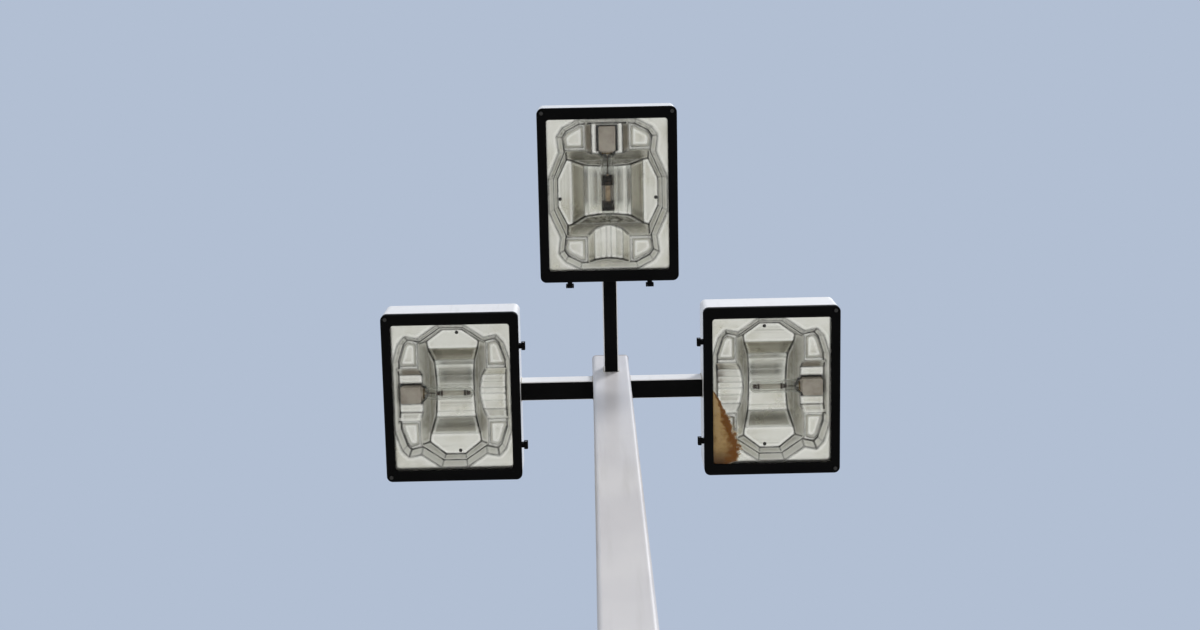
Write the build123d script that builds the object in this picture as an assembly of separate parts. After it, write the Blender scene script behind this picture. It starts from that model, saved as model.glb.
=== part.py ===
"""A three-head area light on a square pole, in millimetres.

The frame's origin is the centre of the base plate's underside, with +Z up. One head stands out to
each of -Y (near), -X (left) and +X (right); the +Y side of the pole carries none. Each head is a
shoebox housing with a faceted reflector, a tubular lamp and a glazed door that hangs on two pins at
its arm side and swings down.
"""
from build123d import *
import os
from dataclasses import dataclass

# Pole shaft, a square steel tube that stands on the base plate.
POLE_WIDTH = 127.0
POLE_HEIGHT = 7620.0
POLE_WALL = 4.0
POLE_CORNER = 12.0
CAP_THICKNESS = 4.0
CAP_OVERHANG = 1.5
CAP_ROUND = 2.4
CAP_SKIRT = 25.0
CAP_SKIRT_WALL = 3.0

# Base plate, with four anchor bolt holes on a circle and a wire hole in its middle.
PLATE_WIDTH = 290.0
PLATE_THICKNESS = 19.0
PLATE_CORNER = 20.0
BOLT_CIRCLE = 292.0
BOLT_HOLE_RADIUS = 13.5
WIRE_HOLE_RADIUS = 45.0

# Two-piece cover over the base plate and its nuts.
COVER_WALL = 2.5
COVER_MARGIN = 3.0
COVER_SKIRT = 62.0
COVER_HEIGHT = 105.0
COVER_CORNER = 18.0

# Hand hole in the +Y face, with a reinforcing frame and a screwed cover.
HAND_HOLE_HEIGHT = 460.0
HAND_HOLE_WIDTH = 66.0
HAND_HOLE_LENGTH = 117.0
HAND_HOLE_RIM = 7.0
HAND_HOLE_LIP = 8.0
HAND_HOLE_LIP_THICKNESS = 4.0
HAND_HOLE_FRAME_DEPTH = 12.0
HAND_HOLE_CORNER = 20.0
HAND_COVER_THICKNESS = 3.0
HAND_COVER_ROUND = 1.5

# Heads. The door's lower face lies this far under the top of the shaft.
DOOR_DROP = 350.0
HEAD_X = 465.0
HEAD_Y = 583.0
HEAD_CORNER = 20.0
NEAR_GAP = 390.0
SIDE_GAP = 313.0

# Housing.
HOUSING_HEIGHT = 162.0
HOUSING_WALL = 4.0
HOUSING_TOP_ROUND = 10.0
LEDGE_RISE = 2.0
LEDGE_WIDTH = 22.0
LEDGE_THICKNESS = 3.0
LIP_INSET = 6.0
LIP_WALL = 2.5
BOSS_RADIUS = 7.5
BOSS_HEIGHT = 22.0

# Door frame, glass and gasket.
DOOR_HEIGHT = 22.0
DOOR_FLANGE = 4.0
DOOR_WALL = 3.0
DOOR_RIM_X = 31.0
DOOR_RIM_Y = 38.0
DOOR_OPENING_CORNER = 10.0
DOOR_CLEARANCE = 1.0
GLASS_THICKNESS = 4.0
GLASS_INSET = 22.0
GLASS_CORNER = 6.0
GASKET_INSET = 4.5
GASKET_WIDTH = 5.5
SEAT_CLEARANCE = 0.3

# Captive screws at the door's free corners.
SCREW_INSET = 16.0
SCREW_RADIUS = 3.0
SCREW_HEAD_RADIUS = 6.5
SCREW_HEAD_HEIGHT = 4.0
SCREW_HEAD_ROUND = 1.4
SCREW_HOLE_CLEARANCE = 1.5
SCREW_REACH = 12.0

# Hinges: a barrel on the door turns on a pin that two ears of the housing's bracket hold.
HINGE_OFFSET = 15.0
HINGE_RISE = 12.0
HINGE_SPACING_X = 269.0
HINGE_SPACING_Y = 346.0
BARREL_RADIUS = 6.5
BARREL_LENGTH = 16.0
STRAP_THICKNESS = 7.0
EAR_THICKNESS = 4.5
EAR_GAP = 0.5
BRACKET_THICKNESS = 6.0
PIN_RADIUS = 3.0
PIN_CLEARANCE = 0.05

# Arms, hollow extrusions with a cover strip along the underside.
ARM_RISE = 75.0
ARM_HEIGHT = 82.0
ARM_WIDTH_NEAR = 50.0
ARM_WIDTH_SIDE = 66.0
ARM_WALL = 4.0
ARM_CORNER = 6.0
ARM_COVER_THICKNESS = 3.0
ARM_COVER_INSET = 3.0
ARM_WIRE_RADIUS = 16.0

# Reflector, formed sheet. Its facet lines are shares of the door's half opening, because the
# pressing is stretched to each head.
SHEET = 2.5
REFLECTOR_INSET = 10.0
REFLECTOR_CORNER_CUT = 34.0
RECESS_DEPTH = 40.0
RECESS_BEVEL = 15.0
PAD_ROOT = 38.0
PAD_DEPTH = 46.0
PAD_BEVEL = 8.0
CHAMBER_DEPTH = 146.0
CHAMBER_BEVEL = 48.0
END_BAY_DEPTH = 84.0
SOCKET_BAY_DEPTH = 58.0
RECESS_OUTLINE = ((0.985, 0.48), (0.88, 0.735), (0.77, 0.83), (0.56, 0.795), (0.22, 0.98))
PAD_OUTLINE = ((0.605, 0.39), (0.605, 0.70), (0.74, 0.73), (0.805, 0.675), (0.895, 0.455), (0.895, 0.39))
CHAMBER_OUTLINE = ((0.74, 0.675), (0.21, 0.965))
CHAMBER_FACETS = ((0.97, 0.45), (0.60, 0.60), (0.40, 0.90), (0.33, 0.94), (0.17, 0.985), (0.04, 1.00))
CHAMBER_ENDS = ((0.70, 0.00), (0.43, 0.60), (0.33, 1.00))
END_BAY_FACETS = ((0.35, 0.50), (0.24, 0.80), (0.13, 0.93), (0.04, 1.00))
END_BAY_ENDS = ((0.955, 0.00), (0.90, 1.00))
SOCKET_BAY_FACETS = ((0.37, 0.68), (0.26, 1.00))
SOCKET_BAY_ENDS = ((0.955, 0.00), (0.935, 1.00))

# Lamp and its socket box at the head's outer end.
LAMP_RISE = 56.0
LAMP_RADIUS = 23.0
LAMP_NECK_RADIUS = 17.0
LAMP_NECK_LENGTH = 26.0
LAMP_LENGTH_NEAR = 225.0
LAMP_LENGTH_SIDE = 180.0
LAMP_CLEARANCE = 4.0
SOCKET_LENGTH_NEAR = 82.0
SOCKET_LENGTH_SIDE = 69.0
SOCKET_WIDTH = 56.0
SOCKET_HALF_HEIGHT = 29.0
SOCKET_CORNER = 5.0
SOCKET_END_SHARE = 0.89
SOCKET_CLEARANCE = 2.5
SOCKET_SIDE_GAP = 8.0
SOCKET_COLLAR = 6.0
HANGER_THICKNESS = 4.0
HANGER_WIDTH = 44.0

DOOR_Z = POLE_HEIGHT - DOOR_DROP
HOUSING_Z = DOOR_Z + DOOR_HEIGHT + DOOR_CLEARANCE
LEDGE_Z = HOUSING_Z + LEDGE_RISE
REFLECTOR_Z = LEDGE_Z - SHEET
ROOF_Z = HOUSING_Z + HOUSING_HEIGHT - HOUSING_WALL
ARM_Z = DOOR_Z + ARM_RISE
HINGE_Z = DOOR_Z + HINGE_RISE
LAMP_Z = REFLECTOR_Z + LAMP_RISE
HALF_POLE = POLE_WIDTH / 2


@dataclass(frozen=True)
class Head:
    """One head, drawn with its arm along +X and turned about the pole into its place."""

    name: str
    turn: float
    gap: float
    length: float
    width: float
    rim_end: float
    rim_side: float
    arm_width: float
    hinge_spacing: float
    lamp_length: float
    socket_length: float

    @property
    def middle(self):
        return self.gap + self.length / 2

    @property
    def half_opening(self):
        return self.length / 2 - self.rim_end, self.width / 2 - self.rim_side

    @property
    def socket_outer(self):
        return self.half_opening[0] * SOCKET_END_SHARE


HEADS = (
    Head("near", -90.0, NEAR_GAP, HEAD_Y, HEAD_X, DOOR_RIM_Y, DOOR_RIM_X, ARM_WIDTH_NEAR,
         HINGE_SPACING_X, LAMP_LENGTH_NEAR, SOCKET_LENGTH_NEAR),
    Head("left", 180.0, SIDE_GAP, HEAD_X, HEAD_Y, DOOR_RIM_X, DOOR_RIM_Y, ARM_WIDTH_SIDE,
         HINGE_SPACING_Y, LAMP_LENGTH_SIDE, SOCKET_LENGTH_SIDE),
    Head("right", 0.0, SIDE_GAP, HEAD_X, HEAD_Y, DOOR_RIM_X, DOOR_RIM_Y, ARM_WIDTH_SIDE,
         HINGE_SPACING_Y, LAMP_LENGTH_SIDE, SOCKET_LENGTH_SIDE),
)


def block(length, width, low, high, x=0.0, y=0.0):
    """A plain box from one height to another, centred on a point of the ground plan."""
    return Pos(x, y, low) * Box(length, width, high - low, align=(Align.CENTER, Align.CENTER, Align.MIN))


def rounded(length, width, corner, low, high, x=0.0, y=0.0):
    """A box with rounded upright edges."""
    outline = RectangleRounded(length, width, corner)
    return Pos(x, y, low) * extrude(outline, amount=high - low)


def ring(length, width, corner, inset, wall, low, high, x=0.0):
    """An upright wall that follows a rounded outline at an inset from it."""
    outer = rounded(length - 2 * inset, width - 2 * inset, max(corner - inset, 1.0), low, high, x)
    depth = inset + wall
    inner = rounded(length - 2 * depth, width - 2 * depth, max(corner - depth, 1.0), low, high, x)
    return outer - inner


def upright(radius, low, high, x=0.0, y=0.0):
    """A cylinder that stands upright."""
    return Pos(x, y, low) * Cylinder(radius, high - low, align=(Align.CENTER, Align.CENTER, Align.MIN))


def make_base_plate():
    """The plate that the anchor bolts hold down."""
    plate = rounded(PLATE_WIDTH, PLATE_WIDTH, PLATE_CORNER, 0, PLATE_THICKNESS)
    plate -= upright(WIRE_HOLE_RADIUS, 0, PLATE_THICKNESS)
    offset_xy = BOLT_CIRCLE / 2 / 2 ** 0.5
    for x in (-offset_xy, offset_xy):
        for y in (-offset_xy, offset_xy):
            plate -= upright(BOLT_HOLE_RADIUS, 0, PLATE_THICKNESS, x, y)
    return plate


def hand_hole_outline(margin):
    """The hand hole's rounded outline in the pole's +Y face, grown by a margin."""
    outline = RectangleRounded(HAND_HOLE_WIDTH + 2 * margin, HAND_HOLE_LENGTH + 2 * margin,
                               HAND_HOLE_CORNER + margin)
    return Plane((0, HALF_POLE, HAND_HOLE_HEIGHT), x_dir=(-1, 0, 0), z_dir=(0, 1, 0)) * outline


def make_shaft():
    """The square tube, open at both ends, with the hand hole and a wire hole behind each arm."""
    shaft = ring(POLE_WIDTH, POLE_WIDTH, POLE_CORNER, 0, POLE_WALL, PLATE_THICKNESS, POLE_HEIGHT)
    shaft -= extrude(hand_hole_outline(HAND_HOLE_RIM), amount=-2 * POLE_WALL)
    wire_hole = Pos(HALF_POLE, 0, ARM_Z + ARM_HEIGHT / 2) * Rot(0, 90, 0) * Cylinder(
        ARM_WIRE_RADIUS, 4 * POLE_WALL)
    for head in HEADS:
        shaft -= Rot(0, 0, head.turn) * wire_hole
    return shaft


def make_pole_cap():
    """A flat cap whose skirt drops inside the shaft."""
    width = POLE_WIDTH + 2 * CAP_OVERHANG
    corner = POLE_CORNER + CAP_OVERHANG
    lid = rounded(width, width, corner, POLE_HEIGHT, POLE_HEIGHT + CAP_THICKNESS)
    lid = fillet(lid.faces().sort_by(Axis.Z)[-1].edges(), CAP_ROUND)
    return lid + ring(POLE_WIDTH, POLE_WIDTH, POLE_CORNER, POLE_WALL + SEAT_CLEARANCE, CAP_SKIRT_WALL,
                      POLE_HEIGHT - CAP_SKIRT, POLE_HEIGHT)


def make_hand_hole_frame():
    """The reinforcing frame: a rim through the pole's wall and a lip over its face."""
    rim = extrude(hand_hole_outline(HAND_HOLE_RIM), amount=-(HAND_HOLE_FRAME_DEPTH - HAND_HOLE_LIP_THICKNESS))
    lip = extrude(hand_hole_outline(HAND_HOLE_RIM + HAND_HOLE_LIP), amount=HAND_HOLE_LIP_THICKNESS)
    opening = extrude(hand_hole_outline(0), amount=HAND_HOLE_FRAME_DEPTH, both=True)
    return rim + lip - opening


def make_hand_hole_cover():
    """The plate that closes the hand hole."""
    outline = Pos(0, HAND_HOLE_LIP_THICKNESS, 0) * hand_hole_outline(HAND_HOLE_RIM + HAND_HOLE_LIP)
    cover = extrude(outline, amount=HAND_COVER_THICKNESS)
    return fillet(cover.faces().sort_by(Axis.Y)[-1].edges(), HAND_COVER_ROUND)


def base_cover_form(inset):
    """The cover's outer or inner form: an upright skirt under a hipped top."""
    half_skirt = PLATE_WIDTH / 2 + COVER_MARGIN + COVER_WALL - inset
    half_top = HALF_POLE + 2 * COVER_WALL
    skirt_high = COVER_SKIRT - inset / 2
    corner = max(COVER_CORNER - inset, 1.0)
    skirt = rounded(2 * half_skirt, 2 * half_skirt, corner, 0, skirt_high)
    lower = Pos(0, 0, skirt_high) * RectangleRounded(2 * half_skirt, 2 * half_skirt, corner)
    upper = Pos(0, 0, COVER_HEIGHT - inset) * RectangleRounded(2 * half_top, 2 * half_top, corner)
    return skirt + loft([lower, upper])


def make_base_cover(side):
    """One half of the base cover; side is -1 for the front half and +1 for the back one."""
    shell = base_cover_form(0) - base_cover_form(COVER_WALL)
    well = POLE_WIDTH + 2 * SEAT_CLEARANCE
    shell -= rounded(well, well, POLE_CORNER, 0, 2 * COVER_HEIGHT)
    reach = PLATE_WIDTH
    keep = block(2 * reach, reach, -1, 2 * COVER_HEIGHT, y=side * (reach / 2 + SEAT_CLEARANCE / 2))
    return shell & keep


def make_arm(head):
    """The arm: a rounded rectangular tube from the pole's face to the housing."""
    length = head.gap - HALF_POLE
    section = RectangleRounded(head.arm_width, ARM_HEIGHT, ARM_CORNER)
    section -= RectangleRounded(head.arm_width - 2 * ARM_WALL, ARM_HEIGHT - 2 * ARM_WALL,
                                max(ARM_CORNER - ARM_WALL, 1.0))
    start = Plane((HALF_POLE, 0, ARM_Z + ARM_HEIGHT / 2), x_dir=(0, 1, 0), z_dir=(1, 0, 0))
    return extrude(start * section, amount=length)


def make_arm_cover(head):
    """The strip that closes the arm's underside."""
    length = head.gap - HALF_POLE - 2 * SEAT_CLEARANCE
    width = head.arm_width - 2 * ARM_COVER_INSET
    return block(length, width, ARM_Z - ARM_COVER_THICKNESS, ARM_Z, x=HALF_POLE + SEAT_CLEARANCE + length / 2)


def screw_places(head):
    """The captive screws' places, at the two corners away from the pole."""
    x = head.gap + head.length - SCREW_INSET
    y = head.width / 2 - SCREW_INSET
    return (x, -y), (x, y)


def make_housing(head):
    """The open box over the lamp, with its ledge, its lip round the gasket and the screw bosses."""
    top = HOUSING_Z + HOUSING_HEIGHT
    shell = rounded(head.length, head.width, HEAD_CORNER, HOUSING_Z, top, head.middle)
    shell = fillet(shell.faces().sort_by(Axis.Z)[-1].edges(), HOUSING_TOP_ROUND)
    shell -= rounded(head.length - 2 * HOUSING_WALL, head.width - 2 * HOUSING_WALL,
                     HEAD_CORNER - HOUSING_WALL, HOUSING_Z, ROOF_Z, head.middle)
    shell += ring(head.length, head.width, HEAD_CORNER, HOUSING_WALL / 2, LEDGE_WIDTH - HOUSING_WALL / 2,
                  LEDGE_Z, LEDGE_Z + LEDGE_THICKNESS, head.middle)
    lip_low = DOOR_Z + DOOR_FLANGE + GLASS_THICKNESS + DOOR_CLEARANCE
    shell += ring(head.length, head.width, HEAD_CORNER, LIP_INSET, LIP_WALL, lip_low, LEDGE_Z, head.middle)
    for x, y in screw_places(head):
        shell += upright(BOSS_RADIUS, LEDGE_Z, LEDGE_Z + BOSS_HEIGHT, x, y)
        shell -= upright(SCREW_RADIUS + SCREW_HOLE_CLEARANCE, LEDGE_Z, LEDGE_Z + BOSS_HEIGHT, x, y)
    wire_hole = Pos(head.gap, 0, ARM_Z + ARM_HEIGHT / 2) * Rot(0, 90, 0)
    return shell - wire_hole * Cylinder(ARM_WIRE_RADIUS, 4 * HOUSING_WALL)


def mirrored(points):
    """A closed outline from its points in one quarter, which run from the first axis to the second."""
    quarter = list(points)
    half = quarter + [(-x, y) for x, y in reversed(quarter)]
    return half + [(x, -y) for x, y in reversed(half)]


def frustum(points, grow, bevel, depth, root=0.0):
    """A tapered recess over a plan outline, from its root up, grown by a sheet's thickness."""
    taper = bevel / (depth - root)
    spread = grow * (1 + taper ** 2) ** 0.5 + grow * taper
    lower = offset(Polygon(*points, align=None), amount=spread, kind=Kind.INTERSECTION)
    upper = offset(lower, amount=-taper * (depth - root + 2 * grow), kind=Kind.INTERSECTION)
    return loft([Pos(0, 0, root - grow) * lower, Pos(0, 0, depth + grow) * upper], ruled=True)


def vault(facets, ends, half, depth, grow):
    """A faceted vault along the lamp: its cross-section run lengthways, with sloping ends.

    facets holds (share of the half width, share of the depth) from the spring to the crown, and ends
    holds (share of the half length, share of the depth) from the rim to the crown.
    """
    half_length, half_width = half
    side = [(y * half_width, z * depth) for y, z in facets]
    section = [(side[0][0], 0)] + side
    section += [(-y, z) for y, z in reversed(section)]
    slope = [(x * half_length, z * depth) for x, z in ends]
    slope += [(-x, z) for x, z in reversed(slope)]
    across = offset(Polygon(*section, align=None), amount=grow, kind=Kind.INTERSECTION)
    along = offset(Polygon(*slope, align=None), amount=grow, kind=Kind.INTERSECTION)
    reach = 2 * max(half)
    return extrude(Plane.YZ * across, amount=reach, both=True) & extrude(Plane.XZ * along, amount=reach,
                                                                         both=True)


def stretched(shares, half):
    """A plan outline in millimetres from its shares of the half opening."""
    return [(x * half[0], y * half[1]) for x, y in shares]


def reflector_form(head, grow):
    """The reflector's hollow as a solid, grown by a sheet's thickness for its back."""
    half = head.half_opening
    reach = 2 * max(half)
    form = frustum(mirrored(stretched(RECESS_OUTLINE, half)), grow, RECESS_BEVEL, RECESS_DEPTH)
    chamber = frustum(mirrored(stretched(CHAMBER_OUTLINE, half)), grow, CHAMBER_BEVEL, CHAMBER_DEPTH)
    form += chamber & vault(CHAMBER_FACETS, CHAMBER_ENDS, half, CHAMBER_DEPTH, grow)
    end_bay = vault(END_BAY_FACETS, END_BAY_ENDS, half, END_BAY_DEPTH, grow)
    form += end_bay & block(reach, reach, -reach, reach, x=-reach / 2)
    socket_bay = vault(SOCKET_BAY_FACETS, SOCKET_BAY_ENDS, half, SOCKET_BAY_DEPTH, grow)
    form += socket_bay & block(reach, reach, -reach, reach, x=reach / 2)
    pad = frustum(stretched(PAD_OUTLINE, half), grow, PAD_BEVEL, PAD_DEPTH, PAD_ROOT)
    for quarter in (pad, mirror(pad, about=Plane.YZ)):
        form += quarter
        form += mirror(quarter, about=Plane.XZ)
    return form


def make_reflector(head):
    """The faceted reflector, drawn from its rim up and let in under the housing's ledge.

    A slot lets the socket box through its outer bay, and a round passage leads the lamp from the
    socket into the chamber.
    """
    length = head.length - 2 * REFLECTOR_INSET
    width = head.width - 2 * REFLECTOR_INSET
    flange = extrude(Rectangle(length, width), amount=SHEET)
    flange = chamfer(flange.edges().filter_by(Axis.Z), REFLECTOR_CORNER_CUT)
    above = block(2 * length, 2 * width, 0, 2 * CHAMBER_DEPTH)
    sheet = flange + (reflector_form(head, SHEET) & above) - reflector_form(head, 0)
    sheet -= block(2 * length, 2 * width, -1, 0)
    outer = head.socket_outer
    sheet -= block(head.socket_length + 2 * SOCKET_CLEARANCE, SOCKET_WIDTH + 2 * SOCKET_SIDE_GAP,
                   LAMP_RISE - SOCKET_HALF_HEIGHT - SOCKET_CLEARANCE, 2 * CHAMBER_DEPTH,
                   x=outer - head.socket_length / 2)
    mouth = outer - head.socket_length
    chamber_wall = CHAMBER_ENDS[-1][0] * head.half_opening[0]
    passage = Cylinder(LAMP_RADIUS + LAMP_CLEARANCE, mouth - chamber_wall)
    sheet -= Pos((mouth + chamber_wall) / 2, 0, LAMP_RISE) * Rot(0, 90, 0) * passage
    return Pos(head.middle, 0, REFLECTOR_Z) * sheet


def make_socket(head):
    """The socket box, its collar round the lamp's neck and the hanger up to the housing's roof."""
    x = head.middle + head.socket_outer - head.socket_length / 2
    low = LAMP_Z - SOCKET_HALF_HEIGHT
    high = LAMP_Z + SOCKET_HALF_HEIGHT
    box = rounded(head.socket_length, SOCKET_WIDTH, SOCKET_CORNER, low, high, x)
    inner_face = x - head.socket_length / 2
    neck = Pos(inner_face, 0, LAMP_Z) * Rot(0, 90, 0)
    box += neck * Cylinder(LAMP_NECK_RADIUS + SOCKET_COLLAR, 2 * SOCKET_COLLAR)
    box -= neck * Cylinder(LAMP_NECK_RADIUS + SEAT_CLEARANCE, 2 * LAMP_NECK_LENGTH)
    return box + block(HANGER_THICKNESS, HANGER_WIDTH, high, ROOF_Z, x=x)


def make_lamp(head):
    """The tubular lamp: a neck in the socket, a cylindrical bulb and a domed end."""
    start = head.middle + head.socket_outer - head.socket_length
    inside = start + LAMP_NECK_LENGTH - SEAT_CLEARANCE
    shoulder = start - SOCKET_COLLAR
    tip = start - head.lamp_length
    dome = tip + LAMP_RADIUS
    with BuildPart() as lamp:
        with BuildSketch(Plane.XZ):
            with BuildLine():
                Polyline((inside, 0), (inside, LAMP_NECK_RADIUS), (shoulder, LAMP_NECK_RADIUS),
                         (shoulder - LAMP_RADIUS / 2, LAMP_RADIUS), (dome, LAMP_RADIUS))
                RadiusArc((dome, LAMP_RADIUS), (tip, 0), -LAMP_RADIUS)
                Line((tip, 0), (inside, 0))
            make_face()
        revolve(axis=Axis.X)
    return Pos(0, 0, LAMP_Z) * lamp.part


def make_door_frame(head):
    """The door's frame: a skirt over the lip, a flange under the glass and two hinge barrels."""
    middle = head.middle
    frame = rounded(head.length, head.width, HEAD_CORNER, DOOR_Z, DOOR_Z + DOOR_HEIGHT, middle)
    frame = fillet(frame.faces().sort_by(Axis.Z)[0].edges(), DOOR_WALL / 2)
    frame -= rounded(head.length - 2 * DOOR_WALL, head.width - 2 * DOOR_WALL, HEAD_CORNER - DOOR_WALL,
                     DOOR_Z + DOOR_FLANGE, DOOR_Z + 2 * DOOR_HEIGHT, middle)
    half_length, half_width = head.half_opening
    frame -= rounded(2 * half_length, 2 * half_width, DOOR_OPENING_CORNER, DOOR_Z - 1,
                     DOOR_Z + DOOR_HEIGHT, middle)
    for x, y in screw_places(head):
        frame -= upright(SCREW_RADIUS, DOOR_Z - 1, DOOR_Z + DOOR_HEIGHT, x, y)
    axis_x = head.gap - HINGE_OFFSET
    for y in (-head.hinge_spacing / 2, head.hinge_spacing / 2):
        strap = block(HINGE_OFFSET + DOOR_WALL / 2, BARREL_LENGTH, HINGE_Z - STRAP_THICKNESS / 2,
                      HINGE_Z + STRAP_THICKNESS / 2, axis_x + (HINGE_OFFSET + DOOR_WALL / 2) / 2, y)
        turned = Pos(axis_x, y, HINGE_Z) * Rot(90, 0, 0)
        frame += strap + turned * Cylinder(BARREL_RADIUS, BARREL_LENGTH)
        frame -= turned * Cylinder(PIN_RADIUS + PIN_CLEARANCE, 2 * BARREL_LENGTH)
    return frame


def make_door_glass(head):
    """The flat glass that lies on the door's flange."""
    low = DOOR_Z + DOOR_FLANGE
    return rounded(head.length - 2 * GLASS_INSET, head.width - 2 * GLASS_INSET, GLASS_CORNER, low,
                   low + GLASS_THICKNESS, head.middle)


def make_gasket(head):
    """The gasket on the flange, which the housing's lip presses on."""
    low = DOOR_Z + DOOR_FLANGE
    high = low + GLASS_THICKNESS + DOOR_CLEARANCE - SEAT_CLEARANCE
    return ring(head.length, head.width, HEAD_CORNER, GASKET_INSET, GASKET_WIDTH, low, high, head.middle)


def make_door_screws(head):
    """The two captive screws, heads under the frame and shanks up into the housing's bosses."""
    screws = None
    for x, y in screw_places(head):
        knob = upright(SCREW_HEAD_RADIUS, DOOR_Z - SCREW_HEAD_HEIGHT, DOOR_Z, x, y)
        knob = fillet(knob.faces().sort_by(Axis.Z)[0].edges(), SCREW_HEAD_ROUND)
        screw = knob + upright(SCREW_RADIUS, DOOR_Z, LEDGE_Z + SCREW_REACH, x, y)
        screws = screw if screws is None else screws + screw
    return screws


def make_hinge_brackets(head):
    """The housing's two hinge brackets: a tongue, a cross bar and two ears round each pin."""
    axis_x = head.gap - HINGE_OFFSET
    outer = axis_x - BARREL_RADIUS
    half_fork = BARREL_LENGTH / 2 + EAR_GAP + EAR_THICKNESS
    low = HOUSING_Z
    high = HOUSING_Z + BRACKET_THICKNESS
    brackets = None
    for y in (-head.hinge_spacing / 2, head.hinge_spacing / 2):
        bracket = block(head.gap - outer, BARREL_LENGTH, low, high, (head.gap + outer) / 2, y)
        bracket += block(2 * BARREL_RADIUS, 2 * half_fork, low, high, axis_x, y)
        for side in (-1, 1):
            ear_y = y + side * (half_fork - EAR_THICKNESS / 2)
            bracket += block(2 * BARREL_RADIUS, EAR_THICKNESS, HINGE_Z, high, axis_x, ear_y)
            bracket += Pos(axis_x, ear_y, HINGE_Z) * Rot(90, 0, 0) * Cylinder(BARREL_RADIUS, EAR_THICKNESS)
        bracket -= Pos(axis_x, y, HINGE_Z) * Rot(90, 0, 0) * Cylinder(PIN_RADIUS, 4 * half_fork)
        brackets = bracket if brackets is None else brackets + bracket
    return brackets


def make_hinge_pins(head):
    """The two hinge pins, held by the brackets' ears."""
    half_fork = BARREL_LENGTH / 2 + EAR_GAP + EAR_THICKNESS
    pins = None
    for y in (-head.hinge_spacing / 2, head.hinge_spacing / 2):
        pin = Pos(head.gap - HINGE_OFFSET, y, HINGE_Z) * Rot(90, 0, 0) * Cylinder(
            PIN_RADIUS, 2 * half_fork + 2 * EAR_GAP)
        pins = pin if pins is None else pins + pin
    return pins


def save(name, shape):
    """Write one sub-part to its own file."""
    export_step(shape, f"parts/{name}.step")


HEAD_PIECES = {
    "arm": make_arm,
    "arm_cover": make_arm_cover,
    "housing": make_housing,
    "hinge_brackets": make_hinge_brackets,
    "hinge_pins": make_hinge_pins,
    "reflector": make_reflector,
    "lamp_socket": make_socket,
    "lamp": make_lamp,
    "door_frame": make_door_frame,
    "door_glass": make_door_glass,
    "door_gasket": make_gasket,
    "door_screws": make_door_screws,
}

os.makedirs("parts", exist_ok=True)
save("base_plate", make_base_plate())
save("pole_shaft", make_shaft())
save("pole_cap", make_pole_cap())
save("hand_hole_frame", make_hand_hole_frame())
save("hand_hole_cover", make_hand_hole_cover())
save("base_cover_front", make_base_cover(-1))
save("base_cover_back", make_base_cover(1))
for head in HEADS:
    for piece, make in HEAD_PIECES.items():
        save(f"{head.name}_{piece}", Rot(0, 0, head.turn) * make(head))
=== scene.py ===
"""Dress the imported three-head street light: finishes, lamps, small fixings, studio and camera.

Every length is in metres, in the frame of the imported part: the pole stands on z = 0 and rises along
+Z, and the heads stand out to -Y (near), -X (left) and +X (right).
"""

import logging
import math
from dataclasses import dataclass, field, replace
from enum import Enum
from functools import partial, reduce
from typing import Callable, Sequence

import bmesh
import bpy
from mathutils import Matrix, Quaternion, Vector


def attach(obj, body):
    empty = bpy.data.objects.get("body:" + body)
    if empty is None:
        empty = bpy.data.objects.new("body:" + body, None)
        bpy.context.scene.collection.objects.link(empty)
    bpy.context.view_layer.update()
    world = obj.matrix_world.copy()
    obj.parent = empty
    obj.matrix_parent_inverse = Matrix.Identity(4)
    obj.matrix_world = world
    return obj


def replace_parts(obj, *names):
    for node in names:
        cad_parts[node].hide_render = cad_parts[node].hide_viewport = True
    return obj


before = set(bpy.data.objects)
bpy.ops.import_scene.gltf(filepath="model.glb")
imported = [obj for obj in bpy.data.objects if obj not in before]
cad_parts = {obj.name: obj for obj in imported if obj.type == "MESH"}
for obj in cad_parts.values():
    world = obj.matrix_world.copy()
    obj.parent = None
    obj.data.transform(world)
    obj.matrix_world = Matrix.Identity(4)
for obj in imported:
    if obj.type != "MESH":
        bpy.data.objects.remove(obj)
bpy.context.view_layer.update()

LOG = logging.getLogger("street_light")

Colour = tuple[float, float, float]
Point = tuple[float, float, float]
Profile = Sequence[tuple[float, float]]
Material = bpy.types.Material
Node = bpy.types.Node
Piece = bpy.types.Object
Socket = bpy.types.NodeSocket
Sockets = dict[str, Socket]
Value = float | Colour | Socket
Inputs = dict[str | int, Value]

ALONG_X: Point = (1.0, 0.0, 0.0)


class Side(Enum):
    """The three heads, each with the turn about the pole that brings it from +X into place."""

    NEAR = ("near", -90.0)
    LEFT = ("left", 180.0)
    RIGHT = ("right", 0.0)

    @property
    def title(self) -> str:
        """The head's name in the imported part."""
        return self.value[0]

    @property
    def turn(self) -> Matrix:
        """The turn about the pole's axis."""
        return Matrix.Rotation(math.radians(self.value[1]), 4, "Z")


class Noise(Enum):
    """How a noise runs over a surface."""

    EVEN = (1.0, 1.0, 1.0)
    STREAKS_DOWN = (1.0, 1.0, 0.06)
    ROLLED_ALONG_X = (0.03, 1.0, 1.0)
    ROLLED_ALONG_Y = (1.0, 0.03, 1.0)


def linear(red: int, green: int, blue: int) -> Colour:
    """Turn a colour of 0 to 255 into the linear values that a shader takes."""
    shares = (value / 255 for value in (red, green, blue))
    return tuple(s / 12.92 if s <= 0.04045 else ((s + 0.055) / 1.055) ** 2.4 for s in shares)


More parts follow.
